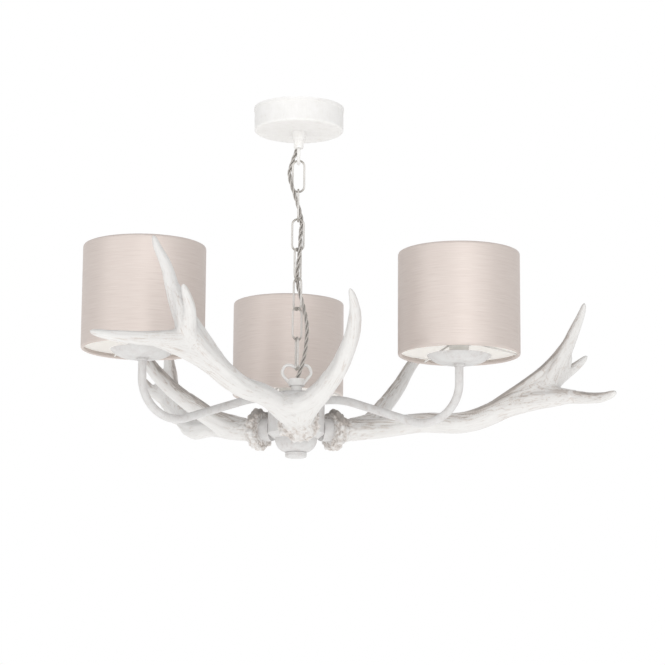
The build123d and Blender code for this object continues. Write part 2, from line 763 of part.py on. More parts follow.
with BuildPart() as flex:
    with BuildLine() as flex_line:
        FilletPolyline(*flex_route, radius=flex_radii)
    flex_path = flex_line.wire()
    with BuildSketch(Plane(origin=flex_path @ 0, z_dir=flex_path % 0)):
        Circle(flex_r)
    sweep(path=flex_path)
expected = math.pi * flex_r**2 * flex_path.length
print(f"flex length {flex_path.length:.0f} mm, volume {flex.part.volume:.0f} of {expected:.0f} mm3")
save(flex.part, "flex")
print("antler axis below the ceiling:", round(hub_z, 2))
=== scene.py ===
import json
import math

import bmesh
import bpy
import numpy as np
from mathutils import Matrix, Vector, noise


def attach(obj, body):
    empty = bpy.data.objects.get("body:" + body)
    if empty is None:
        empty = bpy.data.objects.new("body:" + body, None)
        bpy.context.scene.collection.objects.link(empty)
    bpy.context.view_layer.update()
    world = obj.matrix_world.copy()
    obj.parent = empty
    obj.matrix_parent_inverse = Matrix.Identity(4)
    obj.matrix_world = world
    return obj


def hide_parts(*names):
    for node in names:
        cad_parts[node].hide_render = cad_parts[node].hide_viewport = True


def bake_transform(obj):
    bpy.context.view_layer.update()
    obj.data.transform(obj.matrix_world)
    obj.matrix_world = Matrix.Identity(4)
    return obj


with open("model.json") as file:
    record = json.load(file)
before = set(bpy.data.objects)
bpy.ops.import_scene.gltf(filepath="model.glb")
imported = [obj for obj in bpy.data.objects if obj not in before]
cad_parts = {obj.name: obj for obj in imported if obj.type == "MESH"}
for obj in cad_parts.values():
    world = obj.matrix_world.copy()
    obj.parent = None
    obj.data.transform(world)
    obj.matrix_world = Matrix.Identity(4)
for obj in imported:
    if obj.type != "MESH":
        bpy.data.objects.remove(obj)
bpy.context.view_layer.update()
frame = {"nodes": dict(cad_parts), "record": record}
print("frame loaded:", len(frame["nodes"]), "nodes")

# Three-light chandelier: ceiling rose, chain with a woven flex, hub, three tube arms with drum
# shades and three cast antlers. Metres, the ceiling is at 0 and the front faces -Y.
axisHeight = -0.44298          # where the antlers' stubs leave the hub
armAzimuths = (-27, 93, 213)   # degrees round the hub
armReach = 0.2375              # from the hub's axis to each lamp


def toLinear(code):
    # an sRGB hex colour as Blender's linear values
    values = [int(code[k:k + 2], 16) / 255 for k in (1, 3, 5)]
    linear = [v / 12.92 if v <= 0.04045 else ((v + 0.055) / 1.055) ** 2.4 for v in values]
    return (*linear, 1)


def addNode(tree, kind, settings=None, links=None):
    # one node: settings by attribute or socket name, links as {socket: output socket}
    node = tree.nodes.new(kind)
    for name, value in (settings or {}).items():
        if isinstance(name, int) or name in node.inputs.keys():
            node.inputs[name].default_value = value
        else:
            setattr(node, name, value)
    for name, output in (links or {}).items():
        tree.links.new(output, node.inputs[name])
    return node


def startMaterial(name, surface):
    # a material with a surface shader and its plain settings, and the Object coordinates
    material = bpy.data.materials.new(name)
    material.use_nodes = True
    tree = material.node_tree
    tree.nodes.clear()
    shader = addNode(tree, "ShaderNodeBsdfPrincipled", surface)
    addNode(tree, "ShaderNodeOutputMaterial", links={"Surface": shader.outputs["BSDF"]})
    place = addNode(tree, "ShaderNodeTexCoord").outputs["Object"]
    return material, tree, shader, place


def dressSurface(tree, shader, amount, tones, relief, strength, depth):
    # the colours, as (position, hex) by an amount, and a relief whose depth is in millimetres
    colour = addNode(tree, "ShaderNodeValToRGB", links={"Fac": amount})
    ramp = colour.color_ramp
    while len(ramp.elements) < len(tones):
        ramp.elements.new(0.5)
    for element, (position, code) in zip(ramp.elements, tones):
        element.position = position
        element.color = toLinear(code)
    bump = addNode(tree, "ShaderNodeBump", {"Strength": strength, "Distance": depth / 1000},
                   {"Height": relief})
    tree.links.new(colour.outputs["Color"], shader.inputs["Base Color"])
    tree.links.new(bump.outputs["Normal"], shader.inputs["Normal"])


def cycles(millimetres):
    # how often a pattern of that size repeats in a metre
    return 1000 / millimetres


def keepMesh(name, source, material, body=None, replaces=(), smooth=True):
    # a bmesh or mesh as an object at the origin, riding on a body
    if isinstance(source, bmesh.types.BMesh):
        mesh = bpy.data.meshes.new(name)
        source.to_mesh(mesh)
        source.free()
    else:
        mesh = source
    mesh.polygons.foreach_set("use_smooth", [smooth] * len(mesh.polygons))
    mesh.materials.clear()
    mesh.materials.append(material)
    thing = bpy.data.objects.new(name, mesh)
    bpy.context.scene.collection.objects.link(thing)
    if body:
        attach(thing, body)
    if replaces:
        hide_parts(*replaces)
    return thing


def meshOfCurve(curve):
    # the mesh that a curve makes, without keeping the curve
    holder = bpy.data.objects.new("curve", curve)
    bpy.context.scene.collection.objects.link(holder)
    mesh = bpy.data.meshes.new_from_object(holder)
    bpy.data.objects.remove(holder)
    return mesh


def curveOf(kind, points, radii=None, resolution=12):
    # a one-spline curve through or along points in metres
    curve = bpy.data.curves.new("line", "CURVE")
    curve.dimensions = "3D"
    spline = curve.splines.new(kind)
    if kind == "BEZIER":
        spline.bezier_points.add(len(points) - 1)
        for knot, point in zip(spline.bezier_points, points):
            knot.handle_left_type = knot.handle_right_type = "AUTO"
            knot.co = point
    else:
        spline.points.add(len(points) - 1)
        for knot, point in zip(spline.points, points):
            knot.co = (*point, 1)
    if kind == "NURBS":
        spline.order_u = 3
        spline.use_endpoint_u = True
    if radii is not None:
        for knot, radius in zip(spline.points, radii):
            knot.radius = radius
    spline.resolution_u = resolution
    curve.resolution_u = resolution
    return curve


def lineOf(curve):
    # the curve's own line as points
    return np.array([v.co for v in meshOfCurve(curve).vertices])


def lengthsAlong(line):
    # how far along the line each of its points is
    steps = np.linalg.norm(np.diff(line, axis=0), axis=1)
    return np.concatenate([[0], np.cumsum(steps)])


def tube(line, radii, resolution):
    # a closed round tube along points, with a radius at each
    curve = curveOf("POLY", line, radii)
    curve.bevel_depth = 1.0
    curve.bevel_resolution = resolution
    curve.use_fill_caps = True
    return meshOfCurve(curve)


def readVectors(items, key):
    values = np.empty(len(items) * 3)
    items.foreach_get(key, values)
    return values.reshape(-1, 3)


def markPoints(mesh, name, values):
    # a number for each point, which the mesh's material reads
    marks = mesh.attributes.new(name, "FLOAT", "POINT")
    marks.data.foreach_set("value", values.astype(np.float32))


def ease(value, low, high):
    # 0 below low, 1 above high, smooth between
    t = min(1.0, max(0.0, (value - low) / (high - low)))
    return t * t * (3 - 2 * t)


# Materials. Colours are what the eye sees in plain light, pattern sizes are real sizes in mm.


def gessoPaint(name, tones):
    # chalky white paint brushed over gesso on metal: matt, soft brush ridges, warm grey in the lows
    stroke = 1.9         # mm across a brush mark, drawn coarser than bristles so that it shows
    drawnOut = 0.12      # the marks run upright, about eight times as long as wide
    patch = 11.0         # mm between rubbed places
    brushShare = 0.4
    material, tree, shader, place = startMaterial(name, {"Roughness": 0.55})
    upright = addNode(tree, "ShaderNodeMapping", {"Scale": (1.0, 1.0, drawnOut)}, {"Vector": place})
    brush = addNode(tree, "ShaderNodeTexNoise",
                    {"Scale": cycles(stroke), "Detail": 3.0, "Roughness": 0.55},
                    {"Vector": upright.outputs[0]})
    rubbed = addNode(tree, "ShaderNodeTexNoise",
                     {"Scale": cycles(patch), "Detail": 6.0, "Roughness": 0.62}, {"Vector": place})
    uneven = addNode(tree, "ShaderNodeMath", {"operation": "MULTIPLY_ADD", 1: brushShare},
                     {0: brush.outputs["Fac"], 2: rubbed.outputs["Fac"]}).outputs[0]
    dressSurface(tree, shader, uneven, tones, uneven, strength=0.4, depth=0.5)
    return material


def antlerPaint():
    # satin white paint over a cast resin antler: a grey-brown wash stays in the grain and the burr, and
    # the sides that look up and back to the hub are painted darker as shade
    grain = 2.2          # mm across the grain lines
    blotch = 16.0        # mm between uneven places in the wash
    blotchShare = 0.10
    tones = [(0.0, "#DFDEDC"), (0.16, "#DAD8D6"), (0.36, "#CFC9C4"), (0.66, "#B8B0AA"), (1.0, "#A19B96")]
    material, tree, shader, place = startMaterial("painted_cast_resin_antler", {"Roughness": 0.42})
    # the attribute holds the wash and the painted shade of the upper sides
    low = addNode(tree, "ShaderNodeAttribute", {"attribute_name": "washAndPaintedShade"})
    along = addNode(tree, "ShaderNodeAttribute", {"attribute_name": "grainPlace"})
    fine = addNode(tree, "ShaderNodeTexNoise",
                   {"Scale": cycles(grain), "Detail": 4.0, "Roughness": 0.6},
                   {"Vector": along.outputs["Vector"]})
    mottle = addNode(tree, "ShaderNodeTexNoise",
                     {"Scale": cycles(blotch), "Detail": 5.0, "Roughness": 0.6}, {"Vector": place})
    # thin lines along the grain, fainter between the blotches
    line = addNode(tree, "ShaderNodeMapRange", {"From Min": 0.52, "From Max": 0.60, "To Max": 0.30},
                   {"Value": fine.outputs["Fac"]})
    faint = addNode(tree, "ShaderNodeMapRange", {"From Min": 0.42, "From Max": 0.60, "To Min": 0.20},
                    {"Value": mottle.outputs["Fac"]})
    streak = addNode(tree, "ShaderNodeMath", {"operation": "MULTIPLY"},
                     {0: line.outputs[0], 1: faint.outputs[0]})
    uneven = addNode(tree, "ShaderNodeMath", {"operation": "MULTIPLY_ADD", 1: blotchShare},
                     {0: mottle.outputs["Fac"], 2: low.outputs["Fac"]})
    washAndShade = addNode(tree, "ShaderNodeMath", {"operation": "ADD"},
                   {0: streak.outputs[0], 1: uneven.outputs[0]})
    dressSurface(tree, shader, washAndShade.outputs[0], tones, fine.outputs["Fac"], strength=0.5, depth=0.5)
    return material


def slubSilk():
    # oatmeal silk dupion, laminated: a broad lustre band down the shade where its round threads catch
    # the light, and uneven slub threads running round it
    slub = 0.8           # mm, height of a slub thread, drawn a little coarse so that it shows
    slubLength = 30.0
    rib = 1.0            # mm between the fine upright ribs
    ribLength = 24.0
    material, tree, shader, _ = startMaterial("slub_silk_laminate", {
        "Roughness": 0.48, "Metallic": 0.42, "Specular IOR Level": 0.2})
    cloth = addNode(tree, "ShaderNodeUVMap", {"uv_map": "cloth"})

    def threads(wide, tall, detail):
        stretched = addNode(tree, "ShaderNodeMapping", {"Scale": (cycles(wide), cycles(tall), 1.0)},
                            {"Vector": cloth.outputs["UV"]})
        return addNode(tree, "ShaderNodeTexNoise", {"Scale": 1.0, "Detail": detail, "Roughness": 0.6},
                       {"Vector": stretched.outputs[0]}).outputs["Fac"]

    weft = threads(slubLength, slub, 3.0)
    thick = threads(slubLength * 2, slub * 3.5, 2.0)      # a few thicker and longer slubs
    upright = threads(rib, ribLength, 1.0)
    mixed = addNode(tree, "ShaderNodeMath", {"operation": "MULTIPLY_ADD", 1: 0.35},
                    {0: thick, 2: weft}).outputs[0]
    woven = addNode(tree, "ShaderNodeMath", {"operation": "MULTIPLY_ADD", 1: 0.3},
                    {0: upright, 2: mixed}).outputs[0]
    tones = [(0.40, "#C0B5AF"), (0.58, "#CABFB9"), (0.75, "#CDC3BD"), (0.95, "#D3C9C4")]
    dressSurface(tree, shader, mixed, tones, woven, strength=0.35, depth=0.2)
    return material


def glowingStyreneLiner():
    # stiff white styrene liner inside the shade: smooth, with a faint rolled grain; it glows a little,
    # painted light standing in for the daylight that comes through the shade
    rollMark = 2.4       # mm across the marks of the rolls
    drawnOut = 0.15      # they run upright, about seven times as long
    material, tree, shader, place = startMaterial("rolled_styrene_liner_painted_glow", {
        "Roughness": 0.5, "Emission Strength": 0.2, "Emission Color": toLinear("#F4F1EC")})
    upright = addNode(tree, "ShaderNodeMapping", {"Scale": (1.0, 1.0, drawnOut)}, {"Vector": place})
    grain = addNode(tree, "ShaderNodeTexNoise",
                    {"Scale": cycles(rollMark), "Detail": 3.0, "Roughness": 0.5},
                    {"Vector": upright.outputs[0]}).outputs["Fac"]
    tones = [(0.3, "#EFEDEA"), (0.7, "#F5F4F2")]
    dressSurface(tree, shader, grain, tones, grain, strength=0.12, depth=0.2)
    return material


def coatedWire(name, tones, peel, roughness, wear=None):
    # paint or powder coat on drawn steel wire: even, with a fine orange peel of a size in mm
    wearShare = 0.5
    material, tree, shader, place = startMaterial(name, {"Roughness": roughness})
    fine = addNode(tree, "ShaderNodeTexNoise",
                   {"Scale": cycles(peel), "Detail": 4.0, "Roughness": 0.6},
                   {"Vector": place}).outputs["Fac"]
    amount = fine
    if wear:
        rubbed = addNode(tree, "ShaderNodeAttribute", {"attribute_name": wear})
        amount = addNode(tree, "ShaderNodeMath", {"operation": "MULTIPLY_ADD", 1: wearShare},
                         {0: rubbed.outputs["Fac"], 2: fine}).outputs[0]
    dressSurface(tree, shader, amount, tones, fine, strength=0.2, depth=0.2)
    return material


def mouldedPlastic():
    # white heat-resistant plastic from a fine-sparked mould: smooth with a dull even grain
    sparkMark = 0.8      # mm, coarser than the real mark so that it shows
    cloudSize = 20.0     # mm between slightly warmer places
    material, tree, shader, place = startMaterial("moulded_white_plastic", {"Roughness": 0.38})
    grain = addNode(tree, "ShaderNodeTexNoise", {"Scale": cycles(sparkMark), "Detail": 2.0},
                    {"Vector": place})
    cloud = addNode(tree, "ShaderNodeTexNoise", {"Scale": cycles(cloudSize), "Detail": 3.0},
                    {"Vector": place})
    tones = [(0.3, "#EFEEEA"), (0.7, "#F4F3F1")]
    dressSurface(tree, shader, cloud.outputs["Fac"], tones, grain.outputs["Fac"],
                 strength=0.1, depth=0.2)
    return material


def braidedSleeve(name, onStrand):
    # grey-beige cotton braid over the flex's cores: crossing yarns, their tops painted lighter and the
    # gaps between them painted darker as shade, and on the strands painted shade in the grooves where
    # they meet
    yarn = 1.6           # mm between yarns, coarser than real so that it shows
    slant = 40           # degrees to either side
    oneWave = 0.32       # the wave's scale at which one wave fills one step
    material, tree, shader, place = startMaterial(name, {"Roughness": 0.8, "Sheen Weight": 0.2})
    where = place
    if onStrand:
        where = addNode(tree, "ShaderNodeUVMap", {"uv_map": "braid"}).outputs["UV"]
    yarns = []
    for angle in (slant, -slant):
        turned = addNode(tree, "ShaderNodeMapping", {
            "Rotation": (0, 0, math.radians(angle)), "Scale": (cycles(yarn),) * 3}, {"Vector": where})
        wave = addNode(tree, "ShaderNodeTexWave", {"Scale": oneWave, "Distortion": 0.6, "Detail": 1.0},
                       {"Vector": turned.outputs[0]})
        yarns.append(wave.outputs["Fac"])
    crossed = addNode(tree, "ShaderNodeMath", {"operation": "MAXIMUM"},
                      {0: yarns[0], 1: yarns[1]}).outputs[0]
    lightness = crossed
    if onStrand:
        # painted shade where the strands meet, none on their outsides
        grooveShade = addNode(tree, "ShaderNodeAttribute", {"attribute_name": "grooveShade"})
        lightness = addNode(tree, "ShaderNodeMath", {"operation": "MULTIPLY"},
                            {0: crossed, 1: grooveShade.outputs["Fac"]}).outputs[0]
    tones = [(0.05, "#7C7771"), (0.35, "#A5A09A"), (0.75, "#CDC8C3"), (1.0, "#DDD9D4")]
    dressSurface(tree, shader, lightness, tones, crossed, strength=0.6, depth=0.3)
    return material


def zincPlate():
    # bright zinc plate on turned or pressed steel: small cloudy variation, fine tool lines
    cloudSize = 5.0      # mm
    toolLine = 0.5       # mm between the tool's lines, coarser than real so that they show
    drawnOut = 0.1       # the lines are ten times as long as wide
    material, tree, shader, place = startMaterial("bright_zinc_plate", {
        "Metallic": 1.0, "Roughness": 0.32})
    cloud = addNode(tree, "ShaderNodeTexNoise", {"Scale": cycles(cloudSize), "Detail": 5.0},
                    {"Vector": place})
    sideways = addNode(tree, "ShaderNodeMapping", {"Scale": (drawnOut, 1.0, 1.0)}, {"Vector": place})
    tooling = addNode(tree, "ShaderNodeTexNoise", {"Scale": cycles(toolLine), "Detail": 2.0},
                      {"Vector": sideways.outputs[0]})
    tones = [(0.3, "#A9ADB0"), (0.7, "#C6C8C9")]
    dressSurface(tree, shader, cloud.outputs["Fac"], tones, tooling.outputs["Fac"],
                 strength=0.15, depth=0.1)
    return material


gessoTones = [(0.42, "#E2DED9"), (0.58, "#EDECEA"), (0.90, "#F2F1F0")]
# a darker, greyer copy of the gesso tones: painted shade for the hub, arms, dishes, finial and stubs
shadedGessoTones = [(0.45, "#C1BCB9"), (0.62, "#CECCCB"), (0.90, "#D6D6D5")]     # greyer, below the chain
chainTones = [(0.3, "#E2E0DD"), (0.62, "#D3CFCA"), (1.0, "#A5A099")]
frameTones = [(0.3, "#DEDCD9"), (0.7, "#E8E7E4")]
finishes = {
    "white_gesso": gessoPaint("brushed_gesso_paint", gessoTones),
    "chain_paint": coatedWire("painted_chain_wire", chainTones, peel=1.2, roughness=0.45, wear="rubbed"),
    "antler_resin": antlerPaint(),
    "shade_fabric": slubSilk(),
    "frame_wire": coatedWire("powder_coated_wire", frameTones, peel=0.9, roughness=0.4),
    "white_plastic": mouldedPlastic(),
    "flex_braid": braidedSleeve("braided_flex_sleeve", onStrand=True),
    "zinc_steel": zincPlate(),
}
# the same brushed paint, drawn darker as painted shade on the parts below the chain
shadedGesso = gessoPaint("gesso_paint_painted_shade", shadedGessoTones)
shadedGessoNodes = ("arm_", "drip_dish", "hub_", "finial", "antler_stub")
glowingLiner = glowingStyreneLiner()
leadSleeve = braidedSleeve("braided_lead_sleeve", onStrand=False)
slotOf = {part["node"]: part["material_slot"] for part in frame["record"]["subparts"]}
for nodeName, node in frame["nodes"].items():
    finish = finishes[slotOf[nodeName]]
    if nodeName.startswith("arm_wire"):
        finish = leadSleeve
    elif slotOf[nodeName] == "white_gesso" and nodeName.startswith(shadedGessoNodes):
        finish = shadedGesso
    node.data.materials.clear()
    node.data.materials.append(finish)
print("materials made")

# Antlers: one casting, hung three times. Its own frame has X out from the hub and Z up.
casting = {
    "azimuths": (-87, 26, 150),      # degrees round the hub
    "twists": (0, 6, -1),            # degrees about each antler's own axis
    # the limbs' axes from the burr outwards: x, y, z and radius in mm
    "limbs": {
        "beam": ((57, -1, 0, 15.2), (80, -8, 2, 14.8), (103, -18, 5, 14.3), (160, -46.5, 16.4, 13.8),
                 (217, -86, 22.5, 14.4), (262, -126, 50, 15.4), (300, -151, 74, 13.2)),
        "brow": ((62, 4, 0, 13.6), (88, 5, 3, 13.6), (112, 13, 13, 13.2), (136, 28, 30, 13.0),
                 (177, 51.5, 68, 11.0), (209, 62, 111, 8.4), (226, 58.5, 132, 5.6),
                 (235.5, 53, 144, 2.8)),
        "lowTine": ((284, -142, 68, 12.6), (312, -178, 61, 10.2), (330, -226, 58.2, 7.8),
                    (331.5, -252, 61, 5.6), (331, -267.5, 64.5, 3.4)),
        "topTine": ((290, -144, 64, 13.0), (309, -166, 114, 9.8), (320, -178, 152, 7.0),
                    (323, -188, 172, 5.0), (324, -193.5, 186.5, 3.0)),
        "backTine": ((296, -150, 72, 12.0), (330, -147.5, 94, 8.0), (347, -152, 109, 5.7),
                     (356, -156.5, 120, 3.0)),
        # these widen the crotches
        "neckWeb": ((82, -2, 4, 15.0), (104, -2, 10, 15.4), (124, 0, 18, 13.6)),
        "neckBridge": ((150, -42, 14, 12.4), (134, -26, 11.5, 12.4), (126, -9, 12.5, 12.4),
                       (127, 7, 17.5, 12.2), (136, 24, 29, 12.4), (152, 36.5, 44, 11.6)),
        "topSweep": ((246, -112, 42, 12.6), (276, -137, 72, 12.0), (299, -156, 101, 9.0),
                     (312, -169, 128, 6.6)),
        "lowSweep": ((228, -97, 28, 12.6), (268, -137, 49, 13.6), (297, -166, 56.5, 11.6),
                     (314, -188, 60, 9.2)),
        "backWeb": ((300, -150, 72, 13.0), (312, -154, 90, 12.6), (319, -158, 106, 9.8),
                    (315.5, -167, 126, 6.6)),
    },
    "tines": ("brow", "lowTine", "topTine", "backTine"),
    "tip": 2.4,                      # length of a tine's round tip, in radii
    "browSquash": 0.80,              # the brow tine is flatter from front to back
    # the burr's outline from its back: along its axis and out from it, in mm
    "burr": ((50, 0), (50, 22.0), (51, 26.0), (54.5, 28.8), (59.5, 28.4), (63.5, 25.0), (67, 20.5),
             (72, 16.5), (75, 0)),
    "burrSteps": 48,
    "voxel": 0.00105,                # m
    "evenPasses": 8,
    "fillPasses": 240,               # these fill the crotches and take nothing off
    "lastPasses": 3,
    # the marks in the skin: how many in a metre across a limb, and along it where they are drawn out
    "across": {"ridge": 130, "gutter": 250, "hair": 520, "pearl": 230, "knob": 130, "lump": 60,
               "pit": 210, "patch": 26},
    "along": {"ridge": 9, "gutter": 21, "hair": 50, "knob": 100},
    "gutterWidth": 0.085,            # they follow the noise's zero lines, this far to either side
    # how far each mark moves the skin, in metres
    "depth": {"ridge": 0.0016, "gutter": 0.00038, "hair": 0.00022, "pearl": 0.0019, "knob": 0.0052,
              "lump": 0.0030, "pit": 0.0012},
    # where each begins and is whole, in metres
    "bodyThick": (0.0022, 0.0095),   # by the limb's radius
    "crownThick": (0.0055, 0.0105),
    "crownOut": (0.215, 0.285),      # by the way out from the hub
    "burrOut": (0.072, 0.112),
    "rimOut": (0.068, 0.074),
    "backOut": (0.0505, 0.0525),
    "rimWide": (0.0178, 0.0222),     # by the way from the burr's axis
    "grainDrawnOut": 0.11,           # the painted grain's lines are about nine times as long as wide
}


def limbAxis(points, isTine):
    # the limb's axis and radii as close points in metres; a tine ends in a rounded tip
    coarse = np.array(points) / 1000
    line = lineOf(curveOf("BEZIER", coarse[:, :3], resolution=14))
    knots = np.array([np.linalg.norm(line - point[:3], axis=1).argmin() for point in coarse])
    radii = np.interp(np.arange(len(line)), knots, coarse[:, 3])
    along = lengthsAlong(line)
    if isTine:
        cap = casting["tip"] * coarse[-1, 3]
        into = np.clip((along - (along[-1] - cap)) / cap, 0, 0.995)
        radii = radii * np.sqrt(1 - into ** 2)
    return line, along, radii


def relax(mesh, passes, fill=False):
    # evens the skin out; with fill it only ever adds, so that it rounds the crotches
    pace = 0.5                       # of the way to the neighbours' middle in one pass
    lookAgain = 10                   # passes between looks at which way the skin faces
    places = readVectors(mesh.vertices, "co")
    count = len(places)
    ends = np.empty(len(mesh.edges) * 2, int)
    mesh.edges.foreach_get("vertices", ends)
    first, second = ends.reshape(-1, 2).T
    neighbours = np.bincount(ends, minlength=count)[:, None]
    for turn in range(passes):
        if fill and turn % lookAgain == 0:
            mesh.vertices.foreach_set("co", places.ravel())
            mesh.update()
            normals = readVectors(mesh.vertex_normals, "vector")
        sums = []
        for k in range(3):
            sums.append(np.bincount(first, places[second, k], count)
                        + np.bincount(second, places[first, k], count))
        step = (np.stack(sums, 1) / neighbours - places) * pace
        if fill:
            step = normals * np.maximum(0, (step * normals).sum(1))[:, None]
        places += step
    mesh.vertices.foreach_set("co", places.ravel())
    mesh.update()


def castSkin(axes):
    # all limbs and the burr in one skin
    bm = bmesh.new()
    for name, (line, _, radii) in axes.items():
        limb = tube(line, radii, resolution=6)
        if name == "brow":
            squashed = readVectors(limb.vertices, "co")
            nearest = np.array([np.linalg.norm(line - p, axis=1).argmin() for p in squashed])
            middle = line[nearest, 0]
            squashed[:, 0] = middle + (squashed[:, 0] - middle) * casting["browSquash"]
            limb.vertices.foreach_set("co", squashed.ravel())
        bm.from_mesh(limb)
    rim = [bm.verts.new((x / 1000, 0, r / 1000)) for x, r in casting["burr"]]
    edges = [bm.edges.new(pair) for pair in zip(rim, rim[1:])]
    bmesh.ops.spin(bm, geom=rim + edges, cent=(0, 0, 0), axis=(1, 0, 0), angle=math.tau,
                   steps=casting["burrSteps"], use_merge=True)
    bmesh.ops.remove_doubles(bm, verts=bm.verts, dist=1e-6)
    bmesh.ops.recalc_face_normals(bm, faces=bm.faces)
    mesh = bpy.data.meshes.new("castingRough")
    bm.to_mesh(mesh)
    bm.free()
    rough = bpy.data.objects.new("castingRough", mesh)
    bpy.context.scene.collection.objects.link(rough)
    remesh = rough.modifiers.new("skin", "REMESH")
    remesh.mode = "VOXEL"
    remesh.voxel_size = casting["voxel"]
    skin = bpy.data.meshes.new_from_object(rough.evaluated_get(bpy.context.evaluated_depsgraph_get()))
    bpy.data.objects.remove(rough)
    relax(skin, casting["evenPasses"])
    relax(skin, casting["fillPasses"], fill=True)
    relax(skin, casting["lastPasses"])
    return skin


def limbShares(places, axes):
    # for each point and limb: its share, and the point's place along the limb and out from its axis
    batch = 5000                     # points at a time, to spare memory
    sharpness = 14                   # how clearly the nearest limb wins
    leastShare = 0.06
    gaps, alongs, aways, thicks = [], [], [], []
    for line, along, radii in axes.values():
        heading = np.gradient(line, axis=0)
        heading /= np.linalg.norm(heading, axis=1)[:, None]
        best = np.empty(len(places), int)
        for start in range(0, len(places), batch):
            some = slice(start, start + batch)
            reach = np.linalg.norm(places[some, None] - line[None], axis=2)
            best[some] = (reach / radii[None]).argmin(axis=1)
        away = places - line[best]
        gaps.append(np.linalg.norm(away, axis=1) / radii[best])
        # square to the axis, so that the grain runs on between the axis's points
        further = (away * heading[best]).sum(axis=1)
        alongs.append(along[best] + further)
        aways.append(away - heading[best] * further[:, None])
        thicks.append(radii[best])
    gaps = np.array(gaps)
    shares = np.exp(-sharpness * (gaps - gaps.min(axis=0)))
    shares[shares < leastShare] = 0
    shares /= shares.sum(axis=0)
    return shares, np.array(alongs), np.array(aways), np.array(thicks)


def carveSkin(skin, axes):
    # ridges and gutters along the limbs, pearls near the burr and knobs on its rim; washAndPaintedShade
    # says where the wash stays and where the upper sides are painted darker as shade, from 0 to 1, and
    # grainPlace is where the painted grain is read
    across, drawn, depth = casting["across"], casting["along"], casting["depth"]
    places = readVectors(skin.vertices, "co")
    normals = readVectors(skin.vertex_normals, "vector")
    shares, alongs, aways, thicks = limbShares(places, axes)
    leader = shares.argmax(axis=0)
    moves = np.zeros(len(places))
    low = np.zeros(len(places))
    for k in range(len(places)):
        point = Vector(places[k])
        ridge = line = hair = 0.0
        for limb in np.nonzero(shares[:, k])[0]:
            share, s = shares[limb, k], alongs[limb, k]
            away = Vector(aways[limb, k])
            ownPlace = Vector((s * drawn["ridge"], s * drawn["ridge"], limb * 3.1))   # differs by limb
            ridge += share * noise.noise(away * across["ridge"] + ownPlace)
            line += share * noise.noise(away * across["gutter"] + Vector((s * drawn["gutter"],) * 3))
            hair += share * noise.noise(away * across["hair"] + Vector((s * drawn["hair"],) * 3))
        thick = thicks[leader[k], k]
        fromHub = point.x
        fromAxis = math.hypot(point.y, point.z)
        body = ease(thick, *casting["bodyThick"])
        crown = ease(fromHub, *casting["crownOut"]) * ease(thick, *casting["crownThick"])
        nearBurr = 1 - ease(fromHub, *casting["burrOut"])
        gutter = max(0.0, 1 - abs(line) / casting["gutterWidth"])
        patchy = ease(noise.noise(point * across["patch"]), -0.25, 0.45)
        move = body * (ridge * depth["ridge"] - gutter * depth["gutter"] + hair * depth["hair"])
        # the wash stays in gutters and hairs; where the skin looks up and back to the hub there is more
        # of it, and painted shade on top
        towardsHub = 0.66 * normals[k][2] - 0.75 * normals[k][0]
        # upper: the sides that look up and back to the hub, painted darker as shade
        upper = ease(towardsHub, 0.80, 0.99)
        grainAndShadeSide = ease(towardsHub, 0.15, 0.75)
        # how much wash stays; the upper term raises it there as painted shade
        worn = 0.10 + 0.30 * crown + 0.40 * upper + 0.30 * nearBurr
        washAndTopShade = body * gutter * worn * (0.30 + 0.70 * patchy)
        washAndTopShade += body * max(0.0, hair - 0.10) * worn * 0.3
        # grain lines on the sides that look up: real grain, drawn darker there as painted shade
        washAndTopShade += body * grainAndShadeSide * (1 - 0.8 * crown) * (0.60 * gutter + 1.2 * max(0.0, hair - 0.06))
        # painted shade on the upper sides, a little more at the crown
        washAndTopShade += upper * (0.55 + 0.25 * crown) * (0.4 + 0.6 * body) + crown * 0.02
        if nearBurr > 0 and fromAxis > 0.010 and fromHub > 0.060:
            pearl = noise.voronoi(point * across["pearl"])[0][0]      # 0 in the middle of a pearl
            move += nearBurr * (0.40 - pearl) * depth["pearl"] * (1 - 0.4 * patchy)
            washAndTopShade += nearBurr * max(0.0, pearl - 0.45) * 0.4
        onRim = ease(fromAxis, *casting["rimWide"]) * (1 - ease(fromHub, *casting["rimOut"]))
        if onRim > 0:
            out, side = drawn["knob"], across["knob"]
            knob = noise.voronoi(Vector((point.x * out, point.y * side, point.z * side)))[0][0]
            lump = noise.noise(point * across["lump"])
            pit = ease(noise.noise(point * across["pit"]), 0.12, 0.42)
            top = ease(normals[k][2], 0.1, 0.7)
            move += onRim * ((0.42 - knob) * depth["knob"] + lump * depth["lump"] - pit * depth["pit"])
            # the knob gaps and pits keep wash; the rim's upward-looking top is painted shade
            washAndTopShade += onRim * (0.04 + max(0.0, knob - 0.40) * 0.7 + 0.80 * top + 0.3 * pit)
        # the burr's flat back stays flat against the stub
        onBack = (1 - ease(fromHub, *casting["backOut"])) * (1 - onRim)
        moves[k] = move * (1 - onBack)
        low[k] = min(1.0, washAndTopShade)
    places += normals * moves[:, None]
    skin.vertices.foreach_set("co", places.ravel())
    skin.update()
    markPoints(skin, "washAndPaintedShade", low)
    rows = np.arange(len(places))
    grain = aways[leader, rows]
    grain[:, 1] += alongs[leader, rows] * casting["grainDrawnOut"]
    lines = skin.attributes.new("grainPlace", "FLOAT_VECTOR", "POINT")
    lines.data.foreach_set("vector", grain.astype(np.float32).ravel())


